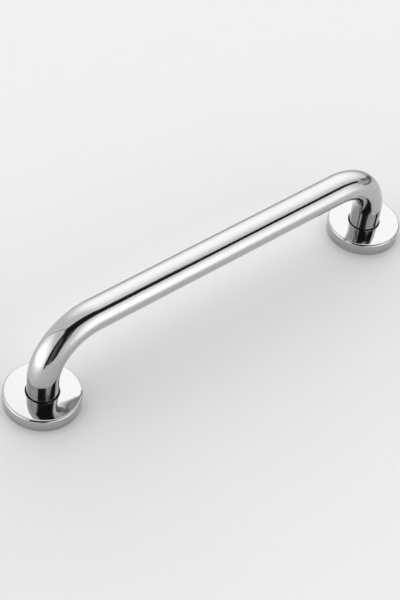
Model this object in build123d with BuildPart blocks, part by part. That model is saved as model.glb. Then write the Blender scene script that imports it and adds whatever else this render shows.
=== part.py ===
from build123d import *
import os

# Wall grab bar: a bent tube welded to two wall flanges, each hidden by a cover that slides on the tube.
# +Z points away from the wall and +X runs along the bar. Sizes are in millimetres.
# The origin is on the wall, midway between the two flanges.

# Bent tube
tube_diameter = 25.4
tube_wall = 1.2
flange_spacing = 338.0  # between the centres of the two wall flanges
bar_height = 70.0  # from the wall to the bar's axis
bend_radius = 44.5  # of the tube's axis

# Covers, drawn from thin sheet
cover_diameter = 62.0
cover_height = 11.8  # at the middle of the face
cover_crown = 0.9  # how far the face falls from its middle to its edge
cover_sheet = 0.8
cover_bend_radius = 1.0  # inside, between the face and the skirt
cover_hole_clearance = 0.8  # radial, round the tube
cover_hole_edge = 0.3  # rounding of the punched hole's outer edge

# Wall flanges, and the welds that hold the tube in them
flange_thickness = 3.0
flange_clearance = 0.3  # radial, between the flange and the cover's skirt
flange_chamfer = 0.6
socket_clearance = 0.1  # radial, round the tube's end
weld_leg = 3.0
weld_crown = 0.4  # height of the bead's face above a flat one

# Wall screws, countersunk into the flanges
screw_count = 3
screw_hole_diameter = 5.5
screw_head_diameter = 9.6
screw_head_angle = 90.0

# Sizes that follow from those above
tube_radius = tube_diameter / 2
foot_x = flange_spacing / 2
cover_radius = cover_diameter / 2
flange_radius = cover_radius - cover_sheet - flange_clearance
weld_toe_radius = tube_radius + weld_leg
screw_circle_radius = (weld_toe_radius + flange_radius) / 2  # midway across the free ring of the flange

os.makedirs("parts", exist_ok=True)

# Bent tube, from the wall at one foot over to the wall at the other
with BuildPart() as bar_tube:
    with BuildLine():
        FilletPolyline(
            (-foot_x, 0, 0),
            (-foot_x, 0, bar_height),
            (foot_x, 0, bar_height),
            (foot_x, 0, 0),
            radius=bend_radius,
        )
    with BuildSketch(Plane(origin=(-foot_x, 0, 0))):
        Circle(tube_radius)
        Circle(tube_radius - tube_wall, mode=Mode.SUBTRACT)
    sweep()
bar_tube.part.label = "bar_tube"
export_step(bar_tube.part, "parts/bar_tube.step")

for side, outward in (("left", -1), ("right", 1)):
    # A foot's plane lies on the wall, its x axis pointing out past the end of the bar
    foot = Plane(origin=(outward * foot_x, 0, 0), x_dir=(outward, 0, 0), z_dir=(0, 0, 1))
    leg_axis = Axis(foot.origin, foot.z_dir)
    section = Plane(origin=foot.origin, x_dir=foot.x_dir, z_dir=-foot.y_dir)

    # Flange, a plate with a socket for the tube and countersunk screw holes
    with BuildPart(foot) as flange:
        with BuildSketch(foot):
            Circle(flange_radius)
            Circle(tube_radius + socket_clearance, mode=Mode.SUBTRACT)
        extrude(amount=flange_thickness)
        front_face = flange.faces().sort_by(Axis.Z)[-1]
        chamfer(front_face.outer_wire().edges(), length=flange_chamfer)
        with Locations((0, 0, flange_thickness)):
            with PolarLocations(screw_circle_radius, screw_count):
                CounterSinkHole(
                    radius=screw_hole_diameter / 2,
                    counter_sink_radius=screw_head_diameter / 2,
                    counter_sink_angle=screw_head_angle,
                )
    flange.part.label = f"{side}_flange"
    export_step(flange.part, f"parts/{side}_flange.step")

    # Weld bead, a crowned fillet in the corner between tube and flange
    with BuildPart() as weld:
        with BuildSketch(section):
            with BuildLine():
                corner = (tube_radius, flange_thickness)
                plate_toe = (weld_toe_radius, flange_thickness)
                tube_toe = (tube_radius, flange_thickness + weld_leg)
                Line(corner, plate_toe)
                SagittaArc(plate_toe, tube_toe, -weld_crown)
                Line(tube_toe, corner)
            make_face()
        revolve(axis=leg_axis)
    weld.part.label = f"{side}_weld"
    export_step(weld.part, f"parts/{side}_weld.step")

    # Cover, a drawn cap with a crowned face and a punched hole for the tube
    with BuildPart(foot) as cover:
        with BuildSketch(section):
            with BuildLine():
                middle = (0, cover_height)
                rim = (cover_radius, cover_height - cover_crown)
                TangentArc(middle, rim, tangent=(1, 0))
                Polyline(rim, (cover_radius, 0), (0, 0), middle)
            make_face()
        revolve(axis=leg_axis)
        skirt = cover.faces().filter_by(GeomType.CYLINDER)
        fillet(skirt.edges().sort_by(Axis.Z)[-1], radius=cover_bend_radius + cover_sheet)
        offset(amount=-cover_sheet, openings=cover.faces().sort_by(Axis.Z)[0])
        with Locations((0, 0, cover_height)):
            Hole(radius=tube_radius + cover_hole_clearance)
        hole_wall = cover.faces().filter_by(GeomType.CYLINDER).sort_by(SortBy.AREA)[0]
        fillet(hole_wall.edges().sort_by(Axis.Z)[-1], radius=cover_hole_edge)
    cover.part.label = f"{side}_cover"
    export_step(cover.part, f"parts/{side}_cover.step")
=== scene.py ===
import math

import bmesh
import bpy
from mathutils import Matrix, Vector


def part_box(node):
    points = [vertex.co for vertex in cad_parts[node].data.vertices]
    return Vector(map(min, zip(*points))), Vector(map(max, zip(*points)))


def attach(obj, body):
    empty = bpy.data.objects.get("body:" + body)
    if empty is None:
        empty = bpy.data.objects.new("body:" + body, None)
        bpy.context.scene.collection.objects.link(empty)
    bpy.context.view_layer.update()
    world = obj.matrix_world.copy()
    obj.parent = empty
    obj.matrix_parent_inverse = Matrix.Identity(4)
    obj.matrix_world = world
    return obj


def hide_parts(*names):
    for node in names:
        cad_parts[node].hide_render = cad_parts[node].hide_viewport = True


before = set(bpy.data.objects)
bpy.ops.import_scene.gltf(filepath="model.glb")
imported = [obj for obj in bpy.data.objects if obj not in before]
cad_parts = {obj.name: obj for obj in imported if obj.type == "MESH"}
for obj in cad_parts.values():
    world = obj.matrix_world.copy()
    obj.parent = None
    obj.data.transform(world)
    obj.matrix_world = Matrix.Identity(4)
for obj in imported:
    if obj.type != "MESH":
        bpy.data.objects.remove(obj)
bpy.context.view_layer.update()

# Sizes of the bar in metres, read from the frame
cover_low, cover_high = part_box("right_cover")
COVER_RADIUS = cover_high.y
FOOT_X = (cover_low.x + cover_high.x) / 2
_, tube_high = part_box("bar_tube")
TUBE_RADIUS = tube_high.x - FOOT_X
BAR_HEIGHT = tube_high.z - TUBE_RADIUS
weld_low, weld_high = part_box("right_weld")
WELD_TOE_RADIUS = weld_high.y
WELD_TOP = weld_high.z
FLANGE_FACE = weld_low.z

# Sizes that the frame's boxes don't show, as in the part's source
TUBE_WALL = 0.0012
BEND_RADIUS = 0.0445
COVER_HEIGHT = 0.0118  # at the middle of the face, before the hole is punched
COVER_CROWN = 0.0009
COVER_SHEET = 0.0008
COVER_EDGE_RADIUS = 0.0018
COVER_HOLE_CLEARANCE = 0.0008  # radial, round the tube
COVER_HOLE_EDGE = 0.0003
WELD_CROWN = 0.0004

# Sizes that follow from those above
LEFT_X = -FOOT_X
LEG_LENGTH = BAR_HEIGHT - BEND_RADIUS
BAR_LENGTH = 2 * (FOOT_X - BEND_RADIUS)
COVER_HOLE_RADIUS = TUBE_RADIUS + COVER_HOLE_CLEARANCE
CROWN_RADIUS = (COVER_RADIUS ** 2 + COVER_CROWN ** 2) / (2 * COVER_CROWN)
WELD_LEG = WELD_TOP - FLANGE_FACE

# How finely the pieces are divided
TUBE_SIDES = 128
BEND_STEPS = 48
LEG_STEPS = 6
BAR_STEPS = 32
COVER_SIDES = 192
FACE_STEPS = 16
EDGE_SEGMENTS = 8
HOLE_EDGE_SEGMENTS = 4
SUPPORT = 0.00025  # width of the plain strip beside a rounded edge
NEAR = SUPPORT / 2  # how close a point lies to an edge that it belongs to
MERGE_DISTANCE = 0.000001
SMOOTH_ANGLE = math.radians(35)

# Ripples across the face of a weld bead
WELD_RIPPLES = 44
STEPS_PER_RIPPLE = 6
WELD_FACE_STEPS = 6
RIPPLE_HEIGHT = 0.00012
RIPPLE_TRAIL = 0.5  # how far the middle of a ripple trails behind its ends, in ripples
RIDGE_SHARE = 0.5  # how much of each ripple is raised
PLAIN_TOE = 0.05  # share of the face beside each toe that stays plain


class Socket:
    """An output of a node. Arithmetic on it adds Math nodes to its tree."""

    def __init__(self, nodes, socket):
        self.nodes = nodes
        self.socket = socket

    def __add__(self, other):
        return self.nodes.maths("ADD", self, other)

    __radd__ = __add__

    def __sub__(self, other):
        return self.nodes.maths("SUBTRACT", self, other)

    def __rsub__(self, other):
        return self.nodes.maths("SUBTRACT", other, self)

    def __mul__(self, other):
        return self.nodes.maths("MULTIPLY", self, other)

    __rmul__ = __mul__

    def __truediv__(self, other):
        return self.nodes.maths("DIVIDE", self, other)

    def __pow__(self, other):
        return self.nodes.maths("POWER", self, other)

    def __abs__(self):
        return self.nodes.maths("ABSOLUTE", self)


class Nodes:
    """Adds nodes to one tree, each as one call."""

    def __init__(self, tree):
        self.tree = tree
        tree.nodes.clear()

    def add(self, kind, settings=None, inputs=None, output=0):
        """Adds a node with its settings and the values or links of its sockets. Gives one output."""
        node = self.tree.nodes.new(kind)
        for name, setting in (settings or {}).items():
            if name == "stops":
                set_stops(node.color_ramp, setting)
            else:
                setattr(node, name, setting)
        for name, value in (inputs or {}).items():
            if isinstance(value, Socket):
                self.tree.links.new(value.socket, node.inputs[name])
            else:
                node.inputs[name].default_value = value
        if node.outputs:
            return Socket(self, node.outputs[output])

    def maths(self, operation, first, second=0.0):
        return self.add("ShaderNodeMath", {"operation": operation}, {0: first, 1: second})

    def plan(self):
        """The x and y of a point, in the object's own frame."""
        point = self.add("ShaderNodeTexCoord", output="Object")
        return [self.add("ShaderNodeSeparateXYZ", inputs={"Vector": point}, output=axis) for axis in "XY"]

    def noise(self, scale, detail, stretch=(1, 1, 1)):
        """Noise of so many features to the metre, stretched along each axis."""
        point = self.add("ShaderNodeTexCoord", output="Object")
        point = self.add("ShaderNodeMapping", inputs={"Vector": point, "Scale": stretch})
        return self.add("ShaderNodeTexNoise", inputs={"Vector": point, "Scale": scale, "Detail": detail})

    def rings(self, radius, scale, detail):
        """Noise that changes with the distance from an axis alone."""
        settings = {"noise_dimensions": "1D"}
        return self.add("ShaderNodeTexNoise", settings, {"W": radius, "Scale": scale, "Detail": detail})

    def band(self, value, low, high):
        """Rises smoothly from 0 at low to 1 at high."""
        settings = {"interpolation_type": "SMOOTHSTEP"}
        return self.add("ShaderNodeMapRange", settings, {"Value": value, "From Min": low, "From Max": high})

    def blend(self, share, first, second):
        """From one colour to another."""
        return self.add("ShaderNodeMix", {"data_type": "RGBA"}, {0: share, 6: first, 7: second}, output=2)

    def bump(self, height, distance):
        """The normal of a surface with fine relief."""
        return self.add("ShaderNodeBump", inputs={"Height": height, "Distance": distance, "Strength": 1.0})

    def show(self, surface):
        """Makes a shader the material's surface."""
        self.add("ShaderNodeOutputMaterial", inputs={"Surface": surface})

    def show_partly(self, share, surface):
        """Shows a shader as far as its share goes, and nothing elsewhere."""
        clear = self.add("ShaderNodeBsdfTransparent")
        self.show(self.add("ShaderNodeMixShader", inputs={0: share, 1: clear, 2: surface}))


def set_stops(ramp, stops):
    """Sets a colour ramp's stops, given as pairs of place and colour."""
    while len(ramp.elements) < len(stops):
        ramp.elements.new(1.0)
    for element, (place, colour) in zip(ramp.elements, stops):
        element.position = place
        element.color = colour


def new_material(name):
    """A new material and the nodes to fill it with."""
    material = bpy.data.materials.new(name)
    material.use_nodes = True
    return material, Nodes(material.node_tree)


# Metals

STEEL_LIGHT = (0.54, 0.54, 0.545, 1)
STEEL_DEEP = (0.50, 0.50, 0.505, 1)
PLATE_LIGHT = (0.60, 0.60, 0.605, 1)
PLATE_DEEP = (0.47, 0.47, 0.475, 1)
STRAW = (0.50, 0.40, 0.26, 1)
STRAW_STRENGTH = 0.7
STRAW_REACH = 0.004  # how far the straw tint spreads from a weld's toe
STRAW_WANDER = 0.002  # how unevenly it spreads


def finish_metal(nodes, colour, roughness, normal):
    surface = nodes.add(
        "ShaderNodeBsdfPrincipled",
        inputs={"Base Color": colour, "Metallic": 1.0, "Roughness": roughness, "Normal": normal},
    )
    nodes.show(surface)


def foot_radius(nodes):
    """Distance from the axis of the nearer foot."""
    x, y = nodes.plan()
    across = abs(x) - FOOT_X
    return (across * across + y * y) ** 0.5


def mirror_tube():
    """Belt-polished steel: a mirror with a faint cloudiness and hair-fine marks along the bar."""
    material, nodes = new_material("mirror_tube")
    cloud = nodes.noise(scale=24, detail=3)
    marks = nodes.noise(scale=900, detail=2, stretch=(0.05, 1, 1))
    colour = nodes.blend(cloud, STEEL_DEEP, STEEL_LIGHT)
    roughness = 0.045 + 0.03 * cloud + 0.015 * marks
    normal = nodes.bump(marks, distance=0.0000008)
    finish_metal(nodes, colour, roughness, normal)
    return material


def mirror_cover():
    """Spin-polished steel: a mirror with hair-fine rings round the tube."""
    material, nodes = new_material("mirror_cover")
    cloud = nodes.noise(scale=30, detail=3)
    rings = nodes.rings(foot_radius(nodes), scale=2500, detail=3)
    colour = nodes.blend(cloud, STEEL_DEEP, STEEL_LIGHT)
    roughness = 0.03 + 0.025 * cloud + 0.015 * rings
    normal = nodes.bump(rings, distance=0.0000006)
    finish_metal(nodes, colour, roughness, normal)
    return material


def turned_flange():
    """Satin steel plate: turning marks in rings, and a straw tint close to the weld."""
    material, nodes = new_material("turned_flange")
    radius = foot_radius(nodes)
    rings = nodes.rings(radius, scale=3200, detail=3)
    patches = nodes.noise(scale=90, detail=4)
    cool = nodes.band(radius + STRAW_WANDER * patches, WELD_TOE_RADIUS, WELD_TOE_RADIUS + STRAW_REACH)
    steel = nodes.blend(rings, PLATE_DEEP, PLATE_LIGHT)
    colour = nodes.blend(STRAW_STRENGTH * (1 - cool), steel, STRAW)
    roughness = 0.28 + 0.14 * rings + 0.06 * patches
    normal = nodes.bump(rings, distance=0.000012)
    finish_metal(nodes, colour, roughness, normal)
    return material


def weld_metal():
    """Bead of weld metal, dull grey with straw and blue tints."""
    material, nodes = new_material("weld_metal")
    patches = nodes.noise(scale=260, detail=4)
    grain = nodes.noise(scale=2400, detail=3)
    stops = [
        (0.25, (0.36, 0.34, 0.32, 1)),
        (0.48, (0.50, 0.44, 0.35, 1)),
        (0.60, (0.44, 0.41, 0.38, 1)),
        (0.75, (0.30, 0.32, 0.38, 1)),
    ]
    colour = nodes.add("ShaderNodeValToRGB", {"stops": stops}, {"Fac": patches})
    roughness = 0.34 + 0.2 * grain
    normal = nodes.bump(grain, distance=0.00002)
    finish_metal(nodes, colour, roughness, normal)
    return material


# Modelling steps

def start_ring(name, radius, centre, sides):
    """A new piece, begun as a level ring, all of it selected in edit mode."""
    bpy.ops.object.select_all(action="DESELECT")
    bpy.ops.mesh.primitive_circle_add(vertices=sides, radius=radius, fill_type="NOTHING", location=centre)
    piece = bpy.context.object
    piece.name = name
    piece.data.name = name
    bpy.ops.object.transform_apply(location=True, rotation=True, scale=True)
    bpy.ops.object.mode_set(mode="EDIT")
    bpy.ops.mesh.select_mode(type="EDGE")
    bpy.ops.mesh.select_all(action="SELECT")
    return piece


def pull(step, times=1):
    """Extrudes the selected ring by a step, so many times."""
    for _ in range(times):
        bpy.ops.mesh.extrude_edges_move(TRANSFORM_OT_translate={"value": step})


def turn_profile(name, profile, sides):
    """A new piece about the left leg's axis: a ring carried on through pairs of radius and height."""
    radius, height = profile[0]
    piece = start_ring(name, radius, (LEFT_X, 0, height), sides)
    for next_radius, next_height in profile[1:]:
        growth = next_radius / radius
        pull((0, 0, next_height - height))
        bpy.ops.transform.resize(value=(growth, growth, 1), center_override=(LEFT_X, 0, next_height))
        radius, height = next_radius, next_height
    return piece


def pick_edges(piece, wanted):
    """Selects the edges that have both ends where they are wanted."""
    bpy.ops.mesh.select_mode(type="EDGE")
    bpy.ops.mesh.select_all(action="DESELECT")
    mesh = bmesh.from_edit_mesh(piece.data)
    for edge in mesh.edges:
        edge.select_set(all(wanted(vert.co) for vert in edge.verts))
    bmesh.update_edit_mesh(piece.data)


def clean_skin():
    """Merges doubled points and turns the faces outwards."""
    bpy.ops.mesh.select_all(action="SELECT")
    bpy.ops.mesh.remove_doubles(threshold=MERGE_DISTANCE)
    bpy.ops.mesh.normals_make_consistent(inside=False)


def thicken(piece, wall):
    """Leaves edit mode and gives the open skin a wall on its inner side."""
    bpy.ops.object.mode_set(mode="OBJECT")
    solid = piece.modifiers.new("wall", "SOLIDIFY")
    solid.thickness = wall
    solid.offset = -1
    solid.use_even_offset = True
    bpy.ops.object.modifier_apply(modifier=solid.name)


def select_only(piece):
    bpy.ops.object.select_all(action="DESELECT")
    piece.select_set(True)
    bpy.context.view_layer.objects.active = piece


def copy_across(piece, name):
    """A copy of a finished piece from the left foot at the right foot, with its own mesh."""
    select_only(piece)
    bpy.ops.object.duplicate(linked=False)
    twin = bpy.context.object
    twin.name = name
    twin.data.name = name
    bpy.ops.transform.translate(value=(2 * FOOT_X, 0, 0))
    bpy.ops.object.transform_apply(location=True, rotation=True, scale=True)
    return twin


def hand_over(piece, material, body, node):
    """Gives a finished piece its metal and its body, and hides the node that it stands for."""
    select_only(piece)
    bpy.ops.object.shade_smooth_by_angle(angle=SMOOTH_ANGLE)
    piece.data.materials.clear()
    piece.data.materials.append(material)
    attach(piece, body)
    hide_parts(node)


# Pieces of the bar

def bend_tube():
    """The tube: up from one wall flange, round a bend, along the bar, round a bend and down."""
    piece = start_ring("polished_bar", TUBE_RADIUS, (LEFT_X, 0, 0), TUBE_SIDES)
    bend = {"steps": BEND_STEPS, "angle": math.pi / 2, "axis": (0, -1, 0)}
    pull((0, 0, LEG_LENGTH / LEG_STEPS), LEG_STEPS)
    bpy.ops.mesh.spin(center=(-BAR_LENGTH / 2, 0, LEG_LENGTH), **bend)
    pull((BAR_LENGTH / BAR_STEPS, 0, 0), BAR_STEPS)
    bpy.ops.mesh.spin(center=(BAR_LENGTH / 2, 0, LEG_LENGTH), **bend)
    pull((0, 0, -LEG_LENGTH / LEG_STEPS), LEG_STEPS)
    clean_skin()
    thicken(piece, TUBE_WALL)
    return piece


def face_height(radius):
    """Height of a cover's crowned face at a distance from the leg's axis."""
    return COVER_HEIGHT - CROWN_RADIUS + math.sqrt(CROWN_RADIUS ** 2 - radius ** 2)


def draw_left_cover():
    """A cover: a crowned disc with a punched hole, its skirt drawn down, its edges rounded."""
    inner = COVER_HOLE_RADIUS + COVER_HOLE_EDGE + SUPPORT
    outer = COVER_RADIUS - COVER_EDGE_RADIUS - SUPPORT
    face_radii = [inner + (outer - inner) * step / FACE_STEPS for step in range(FACE_STEPS + 1)]
    rim_height = face_height(COVER_RADIUS)
    skirt_top = rim_height - COVER_EDGE_RADIUS - SUPPORT

    def reach(point):
        return math.hypot(point.x - LEFT_X, point.y)

    def on_rim(point):
        return abs(point.z - rim_height) < NEAR and reach(point) > COVER_RADIUS - NEAR

    def on_hole(point):
        return abs(point.z - face_height(reach(point))) < NEAR and reach(point) < COVER_HOLE_RADIUS + NEAR

    face = [(radius, face_height(radius)) for radius in (COVER_HOLE_RADIUS, *face_radii, COVER_RADIUS)]
    skirt = [(COVER_RADIUS, skirt_top), (COVER_RADIUS, 0)]
    piece = turn_profile("left_cover_cap", face + skirt, COVER_SIDES)
    pick_edges(piece, on_rim)
    bpy.ops.mesh.bevel(offset=COVER_EDGE_RADIUS, segments=EDGE_SEGMENTS, affect="EDGES")
    clean_skin()
    thicken(piece, COVER_SHEET)
    bpy.ops.object.mode_set(mode="EDIT")
    pick_edges(piece, on_hole)
    bpy.ops.mesh.bevel(offset=COVER_HOLE_EDGE, segments=HOLE_EDGE_SEGMENTS, affect="EDGES")
    bpy.ops.object.mode_set(mode="OBJECT")
    return piece


def lay_left_weld():
    """A weld bead round the tube's foot, with curved ripples across its crowned face."""
    profile = []
    for step in range(WELD_FACE_STEPS + 1):
        share = step / WELD_FACE_STEPS
        crown = WELD_CROWN * 4 * share * (1 - share) / math.sqrt(2)  # as far outwards as upwards
        profile.append((WELD_TOE_RADIUS - WELD_LEG * share + crown, FLANGE_FACE + WELD_LEG * share + crown))
    bore_radius, _ = profile[-1]
    profile += [(bore_radius, FLANGE_FACE), (WELD_TOE_RADIUS, FLANGE_FACE)]
    piece = turn_profile("left_weld_bead", profile, WELD_RIPPLES * STEPS_PER_RIPPLE)
    clean_skin()
    ripple_face(piece)
    clean_skin()
    bpy.ops.object.mode_set(mode="OBJECT")
    return piece


def ripple_face(piece):
    """Raises a curved ridge for each ripple on the bead's open face."""
    bpy.ops.mesh.select_mode(type="VERT")
    bpy.ops.mesh.select_all(action="DESELECT")
    mesh = bmesh.from_edit_mesh(piece.data)
    ripple_turn = 2 * math.pi / WELD_RIPPLES
    for vert in mesh.verts:
        share = (vert.co.z - FLANGE_FACE) / WELD_LEG
        on_open_face = PLAIN_TOE < share < 1 - PLAIN_TOE
        trail = RIPPLE_TRAIL * 4 * share * (1 - share)
        phase = (math.atan2(vert.co.y, vert.co.x - LEFT_X) / ripple_turn + trail) % 1.0
        vert.select_set(on_open_face and phase < RIDGE_SHARE)
    bmesh.update_edit_mesh(piece.data)
    bpy.ops.transform.shrink_fatten(value=RIPPLE_HEIGHT)


# Studio: a pale floor, pale surroundings, soft boxes and dark flags

WHITE = (1, 1, 1, 1)
FLOOR_SIZE = 3.0
FLOOR_COLOUR = (0.86, 0.86, 0.86, 1)
FLOOR_REACH = 0.215  # distance from the bar over which the floor fades into the surroundings
SURROUND_LIGHT = 0.88
FLAG_LIGHT = 0.018
SOFT_BOX_DISTANCE = 3.4
FLAG_DISTANCE = 1.8


def add_plane(name, size):
    bpy.ops.object.select_all(action="DESELECT")
    bpy.ops.mesh.primitive_plane_add(size=size)
    plane = bpy.context.object
    plane.name = name
    return plane


def lay_floor():
    """A pale floor that fades away with the distance from the bar."""
    floor = add_plane("floor", FLOOR_SIZE)
    material, nodes = new_material("pale_floor")
    x, y = nodes.plan()
    past_foot = nodes.maths("MAXIMUM", abs(x) - FOOT_X, 0.0)
    away = (past_foot * past_foot + y * y) ** 0.5 / FLOOR_REACH
    shown = nodes.maths("EXPONENT", -1 * away * away)
    nodes.show_partly(shown, nodes.add("ShaderNodeBsdfDiffuse", inputs={"Color": FLOOR_COLOUR}))
    floor.data.materials.append(material)


def surround():
    """Pale light from all round, as in a white room."""
    world = bpy.data.worlds.new("pale_room")
    world.use_nodes = True
    bpy.context.scene.world = world
    nodes = Nodes(world.node_tree)
    light = nodes.add("ShaderNodeBackground", inputs={"Color": WHITE, "Strength": SURROUND_LIGHT})
    nodes.add("ShaderNodeOutputWorld", inputs={"Surface": light})


def bearing(azimuth, elevation):
    """Unit vector from the object: azimuth 0 is in front of the bar, 90 off its right end."""
    a, e = math.radians(azimuth), math.radians(elevation)
    return Vector((math.sin(a) * math.cos(e), -math.cos(a) * math.cos(e), math.sin(e)))


def facing(azimuth, elevation, roll):
    """Axes of a thing at that bearing that faces the object: right, up and back, as columns."""
    back = bearing(azimuth, elevation)
    right = Vector((math.cos(math.radians(azimuth)), math.sin(math.radians(azimuth)), 0))
    up = back.cross(right)
    c, s = math.cos(math.radians(roll)), math.sin(math.radians(roll))
    return Matrix((c * right + s * up, c * up - s * right, back)).transposed()


def hang_card(name, azimuth, elevation, roll, distance, size, light, shape):
    """A card that faces the object and shows only in reflections, as far as its shape covers it."""
    card = add_plane(name, 1)
    card.scale = (*size, 1)
    bpy.ops.object.transform_apply(location=False, rotation=False, scale=True)
    place = Matrix.Translation(bearing(azimuth, elevation) * distance)
    card.matrix_world = place @ facing(azimuth, elevation, roll).to_4x4()
    card.visible_camera = False
    material, nodes = new_material(name)
    x, y = nodes.plan()
    glow = nodes.add("ShaderNodeEmission", inputs={"Color": WHITE, "Strength": light})
    nodes.show_partly(shape(nodes, x, y), glow)
    card.data.materials.append(material)


def hang_soft_box(name, azimuth, elevation, roll, width, height, fade_across, fade_up, light):
    """A lit card whose light falls off towards its edges."""
    def shape(nodes, x, y):
        across = nodes.band(width / 2 - abs(x), 0, fade_across)
        upward = nodes.band(height / 2 - abs(y), 0, fade_up)
        return across * upward

    hang_card(name, azimuth, elevation, roll, SOFT_BOX_DISTANCE, (width, height), light, shape)


def hang_flag(name, azimuth, elevation, roll, across, up, fades, taper=0.0, shade=1.0):
    """A dark card, narrowed to the right by its taper, its left, right, lower and upper edges softened."""
    left, right = across
    low, high = up
    middle = (low + high) / 2

    def shape(nodes, x, y):
        half = (high - low) / 2 * (1 + taper - (2 * taper / (right - left)) * (x - left))
        above = y - middle
        shown = shade
        for depth, fade in zip((x - left, right - x, half + above, half - above), fades):
            shown = shown * nodes.band(depth, -fade / 2, fade / 2)
        return shown

    reach = max(abs(edge) for edge in (*across, *up)) * (1 + abs(taper)) + max(fades)
    hang_card(name, azimuth, elevation, roll, FLAG_DISTANCE, (2 * reach, 2 * reach), FLAG_LIGHT, shape)


def hang_soft_boxes():
    hang_soft_box(
        "left_soft_box", azimuth=-111.7, elevation=-9.4, roll=-14.2,
        width=8.13, height=8.94, fade_across=3.67, fade_up=4.02, light=2.29,
    )
    hang_soft_box(
        "front_soft_box", azimuth=21.0, elevation=2.7, roll=4.8,
        width=5.4, height=6.03, fade_across=2.58, fade_up=2.69, light=1.95,
    )
    hang_soft_box(
        "back_soft_box", azimuth=132, elevation=41.9, roll=-7.2,
        width=8.85, height=7.35, fade_across=3.98, fade_up=3.3, light=1.78,
    )


def hang_flags():
    # On the camera's side, mirrored in both legs and in the covers below them
    hang_flag(
        "column_flag", azimuth=-45, elevation=0, roll=86.5, across=(-0.2, 2.165), up=(-0.6, 0.72),
        fades=(0.14, 0.3, 0.4, 0.2), taper=-0.3, shade=0.88,
    )
    hang_flag(
        "left_post_flag", azimuth=-63, elevation=0, roll=93.5, across=(-0.34, 1.9), up=(-0.16, 0.14),
        fades=(0.1, 0.4, 0.12, 0.14),
    )
    hang_flag(
        "right_post_flag", azimuth=-35, elevation=0, roll=97.5, across=(-0.13, 1.75), up=(-0.18, 0.17),
        fades=(0.1, 0.5, 0.14, 0.12),
    )
    # Above, mirrored in the left bend and as the line along the bar
    hang_flag(
        "upper_flag", azimuth=-5, elevation=60, roll=-5.2, across=(-1.38, 0.99), up=(-0.475, 0.55),
        fades=(0.4, 0.1, 0.15, 0.22), taper=0.3,
    )
    hang_flag(
        "bar_flag", azimuth=46, elevation=47.5, roll=-46, across=(-0.8, 0.42), up=(-0.345, 0.183),
        fades=(0.2, 0.2, 0.1, 0.1), taper=0.38,
    )
    # Off the right end, mirrored in the right bend
    hang_flag(
        "right_flag", azimuth=58, elevation=32, roll=-49.5, across=(-0.3, 0.54), up=(-0.17, 0.165),
        fades=(0.2, 0.12, 0.12, 0.12), taper=0.1,
    )
    hang_flag(
        "branch_flag", azimuth=90, elevation=6, roll=-38, across=(-0.5, 1.1), up=(-0.17, 0.05),
        fades=(0.3, 0.3, 0.16, 0.09), taper=0.35, shade=0.62,
    )
    hang_flag(
        "low_flag", azimuth=84, elevation=-2, roll=-2, across=(-0.74, 0.62), up=(-0.1, 0.08),
        fades=(0.3, 0.3, 0.06, 0.1), taper=-0.45, shade=0.68,
    )
    hang_flag(
        "lens_flag", azimuth=74, elevation=9, roll=0, across=(-0.42, 0.4), up=(-0.38, 0.34),
        fades=(0.14, 0.2, 0.16, 0.2), shade=0.34,
    )
    # Behind, fainter
    hang_flag(
        "horizon_flag", azimuth=120, elevation=-12, roll=0, across=(-0.95, 1.6), up=(-0.5, 0.5),
        fades=(0.5, 0.6, 0.3, 0.4), shade=0.32,
    )
    hang_flag(
        "thin_flag", azimuth=-130, elevation=40, roll=49.5, across=(-1.35, 1.2), up=(-0.085, -0.015),
        fades=(0.2, 0.2, 0.05, 0.05), shade=0.45,
    )


# Camera at the photograph's viewing angle
CAMERA_AZIMUTH = -45.02
CAMERA_ELEVATION = 46.42
CAMERA_ROLL = 8.08
CAMERA_DISTANCE = 1.5031
CAMERA_TARGET = Vector((-0.0002, 0.01355, 0))
CAMERA_LENS = 110.09


def place_camera():
    camera = bpy.data.objects.new("camera", bpy.data.cameras.new("camera"))
    bpy.context.scene.collection.objects.link(camera)
    camera.data.lens = CAMERA_LENS
    axes = facing(CAMERA_AZIMUTH, CAMERA_ELEVATION, CAMERA_ROLL)
    place = CAMERA_TARGET + bearing(CAMERA_AZIMUTH, CAMERA_ELEVATION) * CAMERA_DISTANCE
    camera.matrix_world = Matrix.Translation(place) @ axes.to_4x4()
    bpy.context.scene.camera = camera


# The bar, with its covers and welds made at the left foot and copied across
hand_over(bend_tube(), mirror_tube(), "bar", "bar_tube")
left_cover = draw_left_cover()
left_weld = lay_left_weld()
covers = {"left": left_cover, "right": copy_across(left_cover, "right_cover_cap")}
welds = {"left": left_weld, "right": copy_across(left_weld, "right_weld_bead")}
cover_metal = mirror_cover()
bead_metal = weld_metal()
flange_metal = turned_flange()
for side in ("left", "right"):
    hand_over(covers[side], cover_metal, f"{side}_cover", f"{side}_cover")
    hand_over(welds[side], bead_metal, "bar", f"{side}_weld")
    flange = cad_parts[f"{side}_flange"]
    flange.data.materials.clear()
    flange.data.materials.append(flange_metal)

lay_floor()
surround()
hang_soft_boxes()
hang_flags()
place_camera()
bpy.context.scene.view_settings.view_transform = "Standard"
